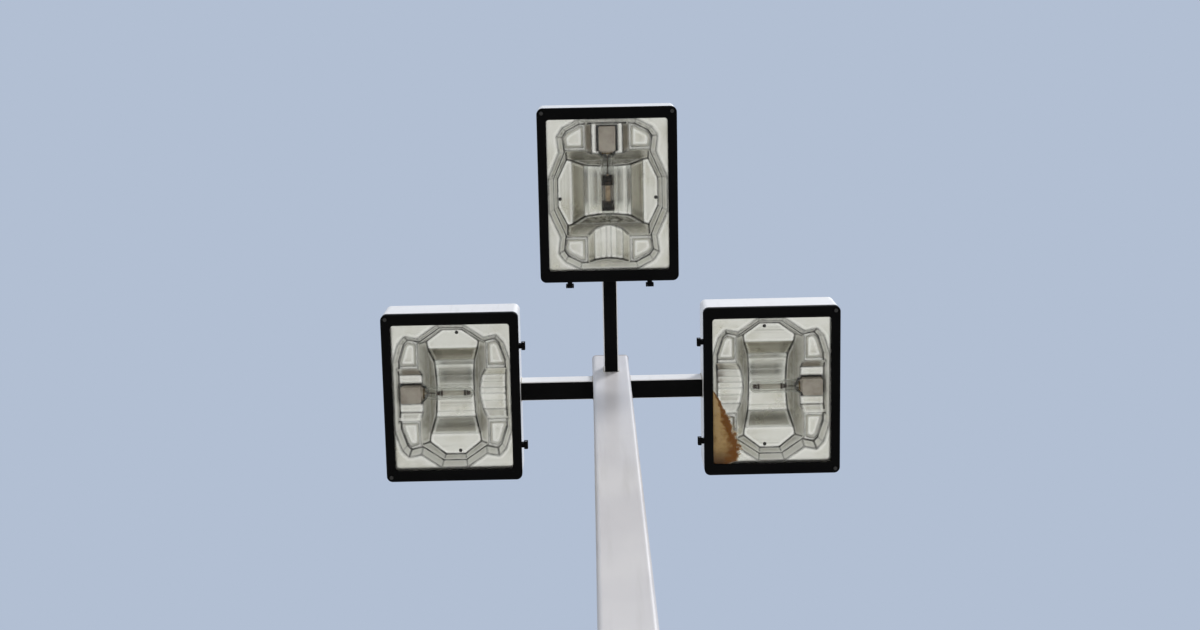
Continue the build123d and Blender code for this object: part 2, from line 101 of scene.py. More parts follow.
class NodeSheet:
    """A short way to lay out the nodes of a material, a world or a node group."""

    def __init__(self, tree: bpy.types.NodeTree) -> None:
        """Start on a node tree."""
        self.tree = tree

    def find(self, kind: str) -> Node:
        """The tree's first node whose type starts with a word."""
        return next(node for node in self.tree.nodes if node.type.startswith(kind))

    def add(self, kind: str, inputs: Inputs | None = None, **settings: object) -> Node:
        """Add a node.

        Args:
            kind: Its type name.
            inputs: What its inputs are fed, each by its name or number.
            **settings: Its properties.

        Returns:
            The node.
        """
        node = self.tree.nodes.new(kind)
        for name, value in settings.items():
            setattr(node, name, value)
        self.fill(node, inputs or {})
        return node

    def fill(self, node: Node, inputs: Inputs) -> None:
        """Feed each of some inputs a plain value, or an output.

        Args:
            node: The node.
            inputs: What they are fed, each by its name or number.
        """
        for name, value in inputs.items():
            target = node.inputs[name]
            if isinstance(value, Socket):
                self.tree.links.new(value, target)
            else:
                target.default_value = (*value, 1.0) if target.type == "RGBA" else value

    def math(self, operation: str, *values: Value, clamp: bool = False) -> Socket:
        """Work out a number from others, and keep it between 0 and 1 if that is asked."""
        inputs = dict(enumerate(values))
        return self.add("ShaderNodeMath", inputs, operation=operation, use_clamp=clamp).outputs[0]

    def times(self, *values: Value) -> Socket:
        """Multiply numbers."""
        return reduce(partial(self.math, "MULTIPLY"), values)

    def highest(self, *values: Value) -> Socket:
        """The highest of some numbers."""
        return reduce(partial(self.math, "MAXIMUM"), values)

    def without(self, share: Value) -> Socket:
        """What a share leaves of 1."""
        return self.math("SUBTRACT", 1.0, share)

    def total(self, start: float, *parts: tuple[Socket, float]) -> Socket:
        """Add numbers by their weights to a start, and keep the sum between 0 and 1."""
        add = partial(self.math, "ADD", clamp=True)
        return reduce(lambda so_far, part: add(so_far, self.times(*part)), parts, start)

    def ramp(self, value: Socket, low: Value, high: Value, start: float = 0.0, end: float = 1.0) -> Socket:
        """Stretch a number smoothly, so that low becomes start and high becomes end."""
        inputs = dict(enumerate((value, low, high, start, end)))
        return self.add("ShaderNodeMapRange", inputs, interpolation_type="SMOOTHSTEP").outputs["Result"]

    def cover(self, colour: Value, *layers: tuple[Socket, Colour]) -> Socket:
        """Lay colours over one another.

        Args:
            colour: The colour at the bottom.
            *layers: The share and the colour of each layer above it, from below.

        Returns:
            The colour that shows.
        """
        for share, tint in layers:
            node = self.add("ShaderNodeMix", data_type="RGBA", clamp_factor=True)
            first, second = (i for i, socket in enumerate(node.inputs) if socket.type == "RGBA")
            self.fill(node, {"Factor": share, first: colour, second: tint})
            colour = next(socket for socket in node.outputs if socket.type == "RGBA")
        return colour

    def place(self, stretch: Noise = Noise.EVEN) -> Socket:
        """The point on the surface in the part's own frame, stretched as a noise there runs."""
        here = self.add("ShaderNodeTexCoord").outputs["Object"]
        return self.add("ShaderNodeMapping", {"Vector": here, "Scale": stretch.value}).outputs["Vector"]

    def axis(self, vector: Socket, name: str) -> Socket:
        """One of a vector's X, Y and Z."""
        return self.add("ShaderNodeSeparateXYZ", {"Vector": vector}).outputs[name]

    def noise(self, place: Socket, scale: Value, detail: float = 4.0, roughness: float = 0.55) -> Socket:
        """A noise from 0 to 1, of scale swells a metre and detail finer layers of some roughness."""
        inputs = {"Vector": place, "Scale": scale, "Detail": detail, "Roughness": roughness}
        return self.add("ShaderNodeTexNoise", inputs).outputs["Fac"]

    def flatness(self, width: Socket, normal: Socket, samples: int) -> Socket:
        """How far a normal is like that of a surface with rounded edges: 1 but for the edges."""
        rounded = self.add("ShaderNodeBevel", {"Radius": width}, samples=samples).outputs["Normal"]
        return self.add("ShaderNodeVectorMath", {0: rounded, 1: normal}, operation="DOT_PRODUCT").outputs[1]

    def blend(self, share: Socket, first: Node, second: Node) -> None:
        """Send a shader to the tree's output, with a share of a second one mixed in."""
        mixed = self.add("ShaderNodeMixShader", {0: share, 1: first.outputs[0], 2: second.outputs[0]})
        self.fill(self.find("OUTPUT"), {"Surface": mixed.outputs[0]})


class MaterialSheet(NodeSheet):
    """The nodes of a new material with one Principled BSDF."""

    def __init__(self, name: str) -> None:
        """Start the material.

        Args:
            name: Its name.
        """
        self.material = bpy.data.materials.new(name)
        self.material.use_nodes = True
        super().__init__(self.material.node_tree)
        self.shader = self.find("BSDF_PRINCIPLED")

    def shade(self, inputs: Inputs) -> None:
        """Feed the shader's inputs."""
        self.fill(self.shader, inputs)

    def bump(self, height: Socket, distance: float, strength: float) -> None:
        """Let a height, of which 1 stands a distance high, shape the shader's normal."""
        inputs = {"Height": height, "Distance": distance, "Strength": strength}
        self.shade({"Normal": self.add("ShaderNodeBump", inputs).outputs["Normal"]})

    def mirrored_ray(self) -> Socket:
        """Whether a ray comes from a mirror, and not from the camera or through glass."""
        path = self.add("ShaderNodeLightPath").outputs
        return self.math("SUBTRACT", path["Is Glossy Ray"], path["Is Transmission Ray"], clamp=True)

    def slant(self, power: float) -> Socket:
        """How slantwise a surface is seen, raised to a power."""
        return self.math("POWER", self.add("ShaderNodeLayerWeight").outputs["Facing"], power)


@dataclass(frozen=True)
class Effect:
    """A shader node group that materials share, with named number inputs and outputs."""

    name: str
    usual: dict[str, float]
    outputs: tuple[str, ...]
    draw: Callable[[NodeSheet, Sockets], Sockets]

    def tree(self) -> bpy.types.NodeTree:
        """Give the node group, and build it the first time.

        Returns:
            The node group.
        """
        group = bpy.data.node_groups.get(self.name)
        if group is not None:
            return group
        group = bpy.data.node_groups.new(self.name, "ShaderNodeTree")
        for title, usual in self.usual.items():
            socket = group.interface.new_socket(name=title, in_out="INPUT", socket_type="NodeSocketFloat")
            socket.default_value = usual
        for title in self.outputs:
            group.interface.new_socket(name=title, in_out="OUTPUT", socket_type="NodeSocketFloat")
        sheet = NodeSheet(group)
        given = sheet.add("NodeGroupInput").outputs
        leave = sheet.add("NodeGroupOutput")
        sheet.fill(leave, self.draw(sheet, {title: given[title] for title in self.usual}))
        return group

    def place(self, sheet: NodeSheet, **values: float) -> Sockets:
        """Put the group in a material with values of its own, and give its outputs by name."""
        node = sheet.add("ShaderNodeGroup", values, node_tree=self.tree())
        return dict(node.outputs.items())


def draw_weather(sheet: NodeSheet, given: Sockets) -> Sockets:
    """Draw the weathering of what stands outdoors.

    Args:
        sheet: The group's nodes.
        given: Scale, the patches of fading that a metre holds.

    Returns:
        Fading in broad patches, Streaks that ran down, and Dust that settled on top.
    """
    streaks_a_patch, specks_a_patch = 9.0, 40.0
    place = sheet.place()
    fading = sheet.noise(place, given["Scale"], detail=3.0)
    down = sheet.place(Noise.STREAKS_DOWN)
    streaks = sheet.noise(down, sheet.times(given["Scale"], streaks_a_patch), detail=3.0)
    specks = sheet.noise(place, sheet.times(given["Scale"], specks_a_patch), detail=6.0, roughness=0.7)
    upward = sheet.axis(sheet.add("ShaderNodeNewGeometry").outputs["Normal"], "Z")
    return {
        "Fading": sheet.ramp(fading, 0.3, 0.7),
        "Streaks": sheet.ramp(streaks, 0.52, 0.78),
        "Dust": sheet.times(sheet.ramp(upward, 0.35, 0.95), sheet.ramp(specks, 0.25, 0.7)),
    }


def draw_edge_wear(sheet: NodeSheet, given: Sockets) -> Sockets:
    """Draw where outer edges are rubbed.

    Args:
        sheet: The group's nodes.
        given: Width of an edge, and Scale, the patches of wear that a metre holds.

    Returns:
        Wear.
    """
    normal = sheet.add("ShaderNodeNewGeometry").outputs["Normal"]
    edge = sheet.ramp(sheet.flatness(given["Width"], normal, 4), 0.97, 0.80)
    patches = sheet.noise(sheet.place(), given["Scale"], detail=5.0, roughness=0.65)
    return {"Wear": sheet.times(edge, sheet.ramp(patches, 0.46, 0.62))}


def draw_folds(sheet: NodeSheet, given: Sockets) -> Sockets:
    """Draw the folds and facets of a pressed sheet, with the painted shade, highlights and reflection on
    them.

    Args:
        sheet: The group's nodes.
        given: Width of a fold's line; Level and Upright, how level a facet is where Slope starts and
            where Steep is full; and Variety of the facets' tones.

    Returns:
        The fold lines of painted shade and dark reflection, darkest where folds are sunk; Sheen, the painted
        highlights on folds that stand out, and beside any fold; Slope; Steep; each facet's painted
        reflection, a tone set by the way it faces; Along, the walls that face +Y; and Across, those that
        face either way along Y.
    """
    sheen_reach, nook_reach, slight_share = 1.9, 1.2, 0.5
    geometry = sheet.add("ShaderNodeNewGeometry").outputs
    flat = sheet.flatness(given["Width"], geometry["Normal"], 6)
    wide = sheet.flatness(sheet.times(given["Width"], sheen_reach), geometry["Normal"], 6)
    fold, fold_and_beside = (sheet.ramp(alike, 0.9999, 0.9975) for alike in (flat, wide))
    bend = sheet.ramp(flat, 0.997, 0.98)
    tip = sheet.ramp(flat, 0.975, 0.90)
    reach = {"Distance": sheet.times(given["Width"], nook_reach)}
    nook = sheet.add("ShaderNodeAmbientOcclusion", reach, samples=4, only_local=True)
    # painted shade: a fold that nearby surfaces hide gets a dark line, and other folds fainter ones
    sunk = sheet.ramp(nook.outputs["AO"], 0.99, 0.85)
    dark = sheet.highest(sunk, sheet.times(sheet.without(bend), slight_share), tip)
    patches = sheet.noise(sheet.place(), scale=26.0, detail=3.0, roughness=0.6)
    beside = sheet.math("SUBTRACT", fold_and_beside, fold, clamp=True)
    facing = geometry["True Normal"]
    level = sheet.math("ABSOLUTE", sheet.axis(facing, "Z"))
    along = sheet.axis(facing, "Y")
    steep = sheet.ramp(level, 0.66, given["Upright"])
    return {
        # painted shade and dark reflection along every fold, in patches
        "Crease": sheet.times(fold, dark, sheet.ramp(patches, 0.35, 0.6, 0.75, 1.0)),
        # painted highlight on folds that stand out and beside every fold
        "Sheen": sheet.highest(beside, sheet.times(bend, sheet.without(sunk))),
        "Slope": sheet.ramp(level, given["Level"], 0.76),
        "Steep": steep,
        # painted reflection: each facet gets its own tone from the way it faces
        "Tone": sheet.ramp(sheet.noise(facing, given["Variety"], detail=1.0), 0.42, 0.62),
        "Along": sheet.times(steep, sheet.ramp(along, 0.0, 0.5)),
        "Across": sheet.times(steep, sheet.ramp(sheet.math("ABSOLUTE", along), 0.5, 0.8)),
    }


def draw_grain(sheet: NodeSheet, given: Sockets) -> Sockets:
    """Draw a fine even Height, as in sprayed paint or cast glaze."""
    return {"Height": sheet.noise(sheet.place(), given["Scale"], detail=2.0, roughness=0.5)}


def draw_grime(sheet: NodeSheet, given: Sockets) -> Sockets:
    """Draw the splashed dirt that is thick at the ground and thins out upwards.

    Args:
        sheet: The group's nodes.
        given: Reach, how high it gets, and Scale, the blotches that a metre holds.

    Returns:
        Grime.
    """
    place = sheet.place()
    low = sheet.ramp(sheet.axis(place, "Z"), 0.0, given["Reach"], 1.0, 0.0)
    blotches = sheet.noise(place, given["Scale"], detail=6.0, roughness=0.65)
    spread = sheet.math("ADD", low, sheet.math("SUBTRACT", blotches, 0.55))
    return {"Grime": sheet.times(low, sheet.ramp(spread, 0.15, 0.75))}


WEATHER = Effect("weather", {"Scale": 3.0}, ("Fading", "Streaks", "Dust"), draw_weather)
EDGE_WEAR = Effect("edge_wear", {"Width": 0.002, "Scale": 60.0}, ("Wear",), draw_edge_wear)
FOLDS = Effect("folds", {"Width": 0.0025, "Level": 0.93, "Upright": 0.42, "Variety": 14.0},
               ("Crease", "Sheen", "Slope", "Steep", "Tone", "Along", "Across"), draw_folds)
GRAIN = Effect("grain", {"Scale": 500.0}, ("Height",), draw_grain)
GRIME = Effect("grime", {"Reach": 0.9, "Scale": 14.0}, ("Grime",), draw_grime)


class PieceMesh:
    """Collects the faces of a new piece in metres, then hands it over as an object."""

    smooth_angle: float = math.radians(40.0)

    def __init__(self) -> None:
        """Start with no faces."""
        self.mesh = bmesh.new()

    def skin(self, rings: Sequence[Sequence[Vector]], closed: bool = False) -> None:
        """Stretch faces between rings of points, of which one-point rings close an end.

        Args:
            rings: Rings with the same number of points, or with one point.
            closed: Whether the last ring joins the first.
        """
        made = [[self.mesh.verts.new(point) for point in ring] for ring in rings]
        pairs = list(zip(made, made[1:]))
        if closed:
            pairs.append((made[-1], made[0]))
        for first, second in pairs:
            count = max(len(first), len(second))
            for i in range(count if count > 1 else 0):
                j = (i + 1) % count
                corners = [first[i % len(first)], first[j % len(first)],
                           second[j % len(second)], second[i % len(second)]]
                self.mesh.faces.new(list(dict.fromkeys(corners)))

    @staticmethod
    def ring(base: Vector, turn: Quaternion, radius: float, count: int, along: float = 0.0) -> list[Vector]:
        """Set points evenly round an axis, which starts at a base and is +Z turned."""
        angles = (math.tau * i / count for i in range(count))
        return [base + turn @ Vector((radius * math.cos(a), radius * math.sin(a), along)) for a in angles]

    def lathe(self, profile: Profile, base: Point, axis: Point, segments: int, closed: bool = False) -> None:
        """Turn a profile, of pairs of (way along the axis, radius), about an axis."""
        turn = Vector(axis).normalized().to_track_quat("Z", "X")
        self.skin([self.ring(Vector(base), turn, radius, segments if radius > 1e-7 else 1, along)
                   for along, radius in profile], closed)

    def rod(self, points: Sequence[Point], radius: float) -> None:
        """Run a round rod through points, with flat ends.

        Args:
            points: The points of its middle line.
            radius: Its radius.
        """
        segments = 10
        line = [Vector(p) for p in points]
        rings = [[line[0]]]
        for i, point in enumerate(line):
            ahead = line[min(i + 1, len(line) - 1)] - line[max(i - 1, 0)]
            rings.append(self.ring(point, ahead.normalized().to_track_quat("Z", "X"), radius, segments))
        self.skin([*rings, [line[-1]]])

    def button_head(self, base: Point, axis: Point, radius: float) -> None:
        """Add a domed screw head with a round socket, standing on a surface.

        Args:
            base: The middle of its seat.
            axis: The direction that it stands out to.
            radius: Its radius.
        """
        height = 0.62 * radius
        dome = [(height * math.sin(a), radius * math.cos(a)) for a in (0.35, 0.7, 1.0, 1.2)]
        socket = [(height * 0.93, 0.30 * radius), (height * 0.35, 0.27 * radius), (height * 0.3, 0.0)]
        self.lathe([(0.0, 0.0), (0.0, radius), *dome, *socket], base, axis, 20)

    def finish(self, name: str, material: Material, turn: Matrix) -> Piece:
        """Make the object.

        Args:
            name: The piece's name.
            material: Its finish.
            turn: The turn that brings it into place.

        Returns:
            The object, linked to the scene.
        """
        self.mesh.transform(turn)
        bmesh.ops.recalc_face_normals(self.mesh, faces=self.mesh.faces)
        data = bpy.data.meshes.new(name)
        self.mesh.to_mesh(data)
        self.mesh.free()
        data.materials.append(material)
        data.shade_smooth()
        data.set_sharp_from_angle(angle=self.smooth_angle)
        piece = bpy.data.objects.new(name, data)
        bpy.context.scene.collection.objects.link(piece)
        return piece


@dataclass(frozen=True)
class WeatheredPaint:
    """Sprayed paint on metal that has stood outdoors."""

    name: str
    colour: Colour
    faded: Colour
    streak: Colour
    primer: Colour
    roughness: float
    coat: float = 0.0
    specular: float = 0.5
    streak_share: float = 0.25
    dust_share: float = 0.35
    wear_share: float = 0.6
    grime_share: float = 0.0
    weather_scale: float = 3.0
    wear_width: float = 0.0016
    wear_scale: float = 70.0
    grime_reach: float = 1.1
    grime_scale: float = 12.0
    grain_scale: float = 420.0
    grain_depth: float = 0.00015
    dust: Colour = linear(150, 142, 128)

    def build(self) -> Material:
        """Make the material.

        Returns:
            The material.
        """
        sheet = MaterialSheet(self.name)
        weather = WEATHER.place(sheet, Scale=self.weather_scale)
        wear = EDGE_WEAR.place(sheet, Width=self.wear_width, Scale=self.wear_scale)["Wear"]
        layers = [(weather["Fading"], self.faded),
                  (sheet.times(weather["Streaks"], self.streak_share), self.streak),
                  (sheet.times(weather["Dust"], self.dust_share), self.dust)]
        if self.grime_share > 0:
            grime = GRIME.place(sheet, Reach=self.grime_reach, Scale=self.grime_scale)["Grime"]
            layers.append((sheet.times(grime, self.grime_share), self.dust))
        layers.append((sheet.times(wear, self.wear_share), self.primer))
        sheet.shade({
            "Base Color": sheet.cover(self.colour, *layers),
            "Roughness": sheet.total(self.roughness, (weather["Fading"], 0.08), (weather["Dust"], 0.3)),
            "Specular IOR Level": self.specular,
            "Coat Weight": self.coat,
            "Coat Roughness": 0.12,
        })
        sheet.bump(GRAIN.place(sheet, Scale=self.grain_scale)["Height"], self.grain_depth, 0.35)
        return sheet.material


@dataclass(frozen=True)
class BrightSheet:
    """Bright anodised aluminium, pressed from rolled sheet, dull on its steep facets; its steep and deep
    facets carry painted shade, its folds painted shade and painted highlights, and its facets a painted
    reflection.
    """

    name: str
    colour: Colour
    hazed: Colour
    # the grey of the painted shade and painted reflection on the facets
    steep: Colour
    streak: Colour
    # the colour of the painted shade along the folds
    crease: Colour
    rolled: Noise
    roughness: float = 0.2
    rim_height: float = 7.2925
    shelf_height: float = 7.340
    deep_height: float = 7.400
    crown_heights: tuple[float, float] = (7.3805, 7.4235)
    crown_share: float = 0.35
    pad_heights: tuple[float, float] = (7.3334, 7.3396)
    pad_blur: float = 0.0004
    pad_share: float = 0.8
    # shares of the painted shade on walls, deep slopes and folds, of the painted highlight and of the
    # painted reflection
    steep_shade_share: float = 0.5
    slope_shade_share: float = 0.8
    crease_share: float = 0.96
    sheen_share: float = 0.9
    reflection_share: float = 0.3
    streak_share: float = 0.35
    speck_share: float = 0.35
    # the colour of the painted shade on walls that face +Y and on the end walls
    shade: Colour = linear(80, 76, 66)
    shade_share: float = 0.6
    end_shade_share: float = 0.0
    dull_share: float = 0.9
    fold_width: float = 0.0100
    wave_height: float = 6.0
    dent_height: float = 60.0
    relief: float = 0.00004
    # the colour of the painted highlights by the folds
    sheen: Colour = linear(255, 254, 250)
    dust: Colour = linear(148, 132, 104)

    def build(self) -> Material:
        """Make the material.

        Returns:
            The material.
        """
        sheet = MaterialSheet(self.name)
        place = sheet.place()
        lines = sheet.noise(sheet.place(self.rolled), scale=900.0, detail=3.0, roughness=0.6)
        haze = sheet.noise(place, scale=7.0, detail=5.0, roughness=0.6)
        specks = sheet.ramp(sheet.noise(place, scale=160.0, detail=3.0, roughness=0.7), 0.66, 0.74)
        folds = FOLDS.place(sheet, Width=self.fold_width)
        # painted highlight: at the pads' height the fold lines turn from painted shade to painted highlight
        bright = sheet.times(folds["Crease"], self.pad_border(sheet, sheet.axis(place, "Z")))
        crease = sheet.math("SUBTRACT", folds["Crease"], bright)
        sheet.shade({
            "Base Color": sheet.cover(
                self.facet_colour(sheet, folds, haze, place),
                # painted highlight by the folds, painted shade along them, then real specks of dust
                (sheet.highest(sheet.times(folds["Sheen"], self.sheen_share), bright), self.sheen),
                (sheet.times(crease, self.crease_share), self.crease),
                (sheet.times(specks, self.speck_share), self.dust)),
            "Metallic": sheet.without(sheet.times(folds["Steep"], self.dull_share)),
            "Roughness": sheet.total(self.roughness, (sheet.ramp(haze, 0.4, 0.8), 0.08),
                                     (folds["Crease"], 0.25), (lines, 0.05)),
        })
        waves = sheet.times(sheet.noise(place, scale=22.0, detail=2.0), self.wave_height)
        dents = sheet.noise(place, scale=60.0, detail=3.0, roughness=0.6)
        dents = sheet.times(dents, self.dent_height, folds["Steep"])
        sheet.bump(sheet.math("ADD", sheet.math("ADD", lines, waves), dents), self.relief, 0.6)
        return sheet.material

    def pad_border(self, sheet: NodeSheet, height: Socket) -> Socket:
        """Lay out how much a point lies at the height of the pads, whose borders get a painted highlight.

        Args:
            sheet: The material's nodes.
            height: The point's height.

        Returns:
            The share.
        """
        low, high = self.pad_heights
        above = sheet.ramp(height, low - self.pad_blur, low + self.pad_blur)
        below = sheet.ramp(height, high + self.pad_blur, high - self.pad_blur)
        return sheet.times(above, below, self.pad_share)

    def facet_colour(self, sheet: NodeSheet, folds: Sockets, haze: Socket, place: Socket) -> Socket:
        """Colour the facets: hazed where they lie flat, with painted shade on deep slopes, on the walls and
        on walls that face +Y or end the chamber, and painted reflection in each facet's tone and, with the
        sheet's own rolled lines, in its long streaks.

        Args:
            sheet: The material's nodes.
            folds: What the folds effect puts out.
            haze: The broad haze, from 0 to 1.
            place: The point on the surface.

        Returns:
            The colour.
        """
        height = sheet.axis(place, "Z")
        deep = sheet.ramp(height, self.shelf_height, self.deep_height)
        # how deep a point lies, which strengthens the painted shade, the painted reflection and the dark
        # streaks
        wall = sheet.ramp(height, self.rim_height, self.deep_height, 0.1, 1.0)
        crown = sheet.ramp(height, *self.crown_heights, 1.0, self.crown_share)
        # the patches in which painted shade lies on the walls
        patchy_shade = sheet.noise(place, scale=44.0, detail=5.0, roughness=0.75)
        patchy_shade = sheet.ramp(patchy_shade, 0.42, 0.60, 0.15, 1.0)
        # painted shade on walls that face +Y and on deep walls at the chamber's ends
        shade = sheet.highest(sheet.times(folds["Along"], self.shade_share),
                              sheet.times(folds["Across"], deep, self.end_shade_share))
        # long streaks along the rolling: partly the sheet's own rolled lines, partly painted reflection
        drawn = sheet.noise(sheet.place(self.rolled), scale=30.0, detail=3.0, roughness=0.6)
        return sheet.cover(
            self.colour,
            (sheet.ramp(haze, 0.42, 0.75), self.hazed),
            # painted reflection in each facet's tone, then painted shade on deep slopes and on the walls
            (sheet.times(folds["Tone"], wall, self.reflection_share), self.steep),
            (sheet.times(folds["Slope"], deep, self.slope_shade_share, crown), self.steep),
            (sheet.times(folds["Steep"], patchy_shade, wall, self.steep_shade_share), self.steep),
            (sheet.times(shade, patchy_shade), self.shade),
            (sheet.times(sheet.ramp(drawn, 0.50, 0.68), self.streak_share, wall), self.streak),
            (sheet.times(sheet.ramp(drawn, 0.46, 0.34), self.streak_share), self.colour))


@dataclass(frozen=True)
class ClearGlass:
    """Clear glass with a thin film of dust; the straight share of the light passes it unbent."""

    name: str
    colour: Colour
    film: float
    straight: float = 0.0
    ior: float = 1.5
    passing: Colour = (0.96, 0.965, 0.96)

    def build(self) -> Material:
        """Make the material.

        Returns:
            The material.
        """
        sheet = MaterialSheet(self.name)
        film = sheet.ramp(sheet.noise(sheet.place(), scale=9.0, detail=6.0, roughness=0.65), 0.4, 0.75)
        sheet.shade({"Base Color": self.colour, "Transmission Weight": 1.0, "IOR": self.ior,
                     "Roughness": sheet.times(film, self.film)})
        clear = sheet.add("ShaderNodeBsdfTransparent", {"Color": self.passing})
        path = sheet.add("ShaderNodeLightPath").outputs
        passed = sheet.highest(path["Is Shadow Ray"], path["Is Diffuse Ray"])
        if self.straight > 0:
            unbent = sheet.times(sheet.without(sheet.slant(5.0)), self.straight)
            passed = sheet.highest(passed, sheet.mirrored_ray(), unbent)
        sheet.blend(passed, sheet.shader, clear)
        return sheet.material


@dataclass(frozen=True)
class PlainBody:
    """A finish of one stuff with a little change of colour and a fine surface."""

    name: str
    colour: Colour
    second: Colour
    roughness: float
    metallic: float = 0.0
    patch_scale: float = 30.0
    grain_scale: float = 900.0
    grain_depth: float = 0.0001

    def build(self) -> Material:
        """Make the material.

        Returns:
            The material.
        """
        sheet = MaterialSheet(self.name)
        patches = sheet.noise(sheet.place(), self.patch_scale, detail=5.0, roughness=0.6)
        sheet.shade({
            "Base Color": sheet.cover(self.colour, (sheet.ramp(patches, 0.35, 0.7), self.second)),
            "Metallic": self.metallic,
            "Roughness": sheet.total(self.roughness, (patches, 0.12)),
        })
        sheet.bump(GRAIN.place(sheet, Scale=self.grain_scale)["Height"], self.grain_depth, 0.5)
        return sheet.material


@dataclass(frozen=True)
class SmokedGlass:
    """The brown deposit that a burning arc leaves inside its bulb, thin enough to see through."""

    name: str
    colour: Colour
    density: float
    thin_share: float = 0.75
    slant_gain: float = 3.0

    def build(self) -> Material:
        """Make the material.

        Returns:
            The material.
        """
        sheet = MaterialSheet(self.name)
        clouds = sheet.noise(sheet.place(), scale=55.0, detail=4.0, roughness=0.6)
        smoke = sheet.ramp(clouds, 0.3, 0.7, self.thin_share * self.density, self.density)
        through = sheet.math("ADD", 1.0, sheet.times(sheet.slant(2.0), self.slant_gain))
        seen = sheet.times(sheet.without(sheet.mirrored_ray()), through)
        sheet.shade({"Base Color": self.colour, "Roughness": 0.55, "Specular IOR Level": 0.1,
                     "Alpha": sheet.math("MULTIPLY", smoke, seen, clamp=True)})
        return sheet.material


@dataclass(frozen=True)
class SiltFront:
    """How far from the frame a puddle stood on the pane, along the pane's edge from its corner.

    The reach falls off to nothing at the puddle's length, and shrinks again close to the corner.
    """

    corner: tuple[float, float]
    length: float
    reach: float
    fall: float
    pinch: float
    pinch_length: float

    def at(self, along: float) -> float:
        """The reach in metres, at a way along the edge."""
        left = max(1 - along / self.length, 0.0)
        return self.reach * left ** self.fall * (1 - self.pinch * math.exp(-along / self.pinch_length))

    def along(self, sheet: NodeSheet, place: Socket) -> Socket:
        """Lay out a point's way along the edge."""
        return sheet.math("SUBTRACT", self.corner[1], sheet.axis(place, "Y"))

    def share(self, sheet: NodeSheet, place: Socket) -> Socket:
        """Lay out the share of the reach at which a point lies.

        Args:
            sheet: The material's nodes.
            place: The point.

        Returns:
            The share, 1 at the front.
        """
        along = self.along(sheet, place)
        left = sheet.without(sheet.math("DIVIDE", along, self.length))
        left = sheet.math("POWER", sheet.highest(left, 0.001), self.fall)
        close = sheet.math("EXPONENT", sheet.math("DIVIDE", along, -self.pinch_length))
        reach = sheet.times(left, sheet.without(sheet.times(close, self.pinch)), self.reach)
        return sheet.math("DIVIDE", sheet.math("SUBTRACT", sheet.axis(place, "X"), self.corner[0]), reach)


@dataclass(frozen=True)
class DriedSilt:
    """Silt that a puddle left on a pane: a dark tide line inside the front of a paler film."""

    name: str
    front: SiltFront
    tide: Colour
    film: Colour
    mud: Colour
    fringe: Colour
    raggedness: float = 1.1
    corner_mud: float = 0.075

    def build(self) -> Material:
        """Make the material.

        Returns:
            The material.
        """
        sheet = MaterialSheet(self.name)
        place = sheet.place()
        ragged = sheet.math("SUBTRACT", sheet.noise(place, scale=55.0, detail=6.0, roughness=0.7), 0.5)
        front = sheet.math("ADD", self.front.share(sheet, place), sheet.times(ragged, self.raggedness))
        blotches = sheet.noise(place, scale=16.0, detail=6.0, roughness=0.65)
        solid = sheet.ramp(front, 0.30, 0.60, 0.86, 0.98)
        sheet.shade({
            "Base Color": sheet.cover(
                self.film,
                (sheet.ramp(blotches, 0.42, 0.72), self.mud),
                (sheet.ramp(self.front.along(sheet, place), self.corner_mud, 0.0), self.mud),
                (sheet.ramp(front, 0.48, 0.72), self.tide),
                (sheet.ramp(front, 0.98, 1.06), self.fringe)),
            "Roughness": 0.85,
            "Specular IOR Level": 0.1,
            "Alpha": sheet.times(solid, sheet.ramp(front, 1.12, 1.0)),
        })
        sheet.bump(GRAIN.place(sheet, Scale=1400.0)["Height"], 0.0003, 0.6)
        return sheet.material


SILT_FRONT = SiltFront(corner=(0.3440, 0.2535), length=0.258, reach=0.114, fall=0.8, pinch=0.51,
                       pinch_length=0.0273)

# the third colour is the grey of painted shade and painted reflection, the fifth the painted shade along the
# folds
SIDE_REFLECTOR = BrightSheet("reflector_aluminium_x", linear(242, 241, 235), linear(218, 215, 201),
                             linear(150, 146, 130), linear(112, 106, 88), linear(20, 19, 15),
                             Noise.ROLLED_ALONG_X)

